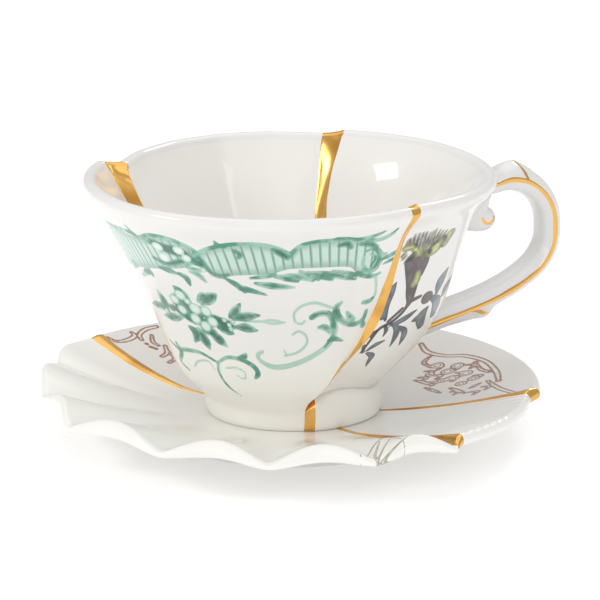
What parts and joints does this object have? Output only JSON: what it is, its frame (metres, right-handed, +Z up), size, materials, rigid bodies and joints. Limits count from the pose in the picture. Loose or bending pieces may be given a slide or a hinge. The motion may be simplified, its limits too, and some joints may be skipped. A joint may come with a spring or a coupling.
{
  "type": "cup and saucer",
  "caption": "Porcelain tea cup with a strap handle on a fluted saucer, both shaped like shards of old services joined along gold seams.",
  "frame": {"origin": "on the resting plane, under the middle of the whole footprint; the cup's and the saucer's shared axis stands 6.5 mm from it towards -X", "axes": "+Z up, +X towards the cup's handle, +Y completes the right-handed frame"},
  "size_m": [0.1646, 0.1528, 0.0813],
  "materials": {
    "cup_glaze": "gloss",
    "saucer_glaze": "gloss"
  },
  "bodies": {
    "root": {"cup": "cup_glaze", "saucer": "saucer_glaze"}
  },
  "joints": []
}
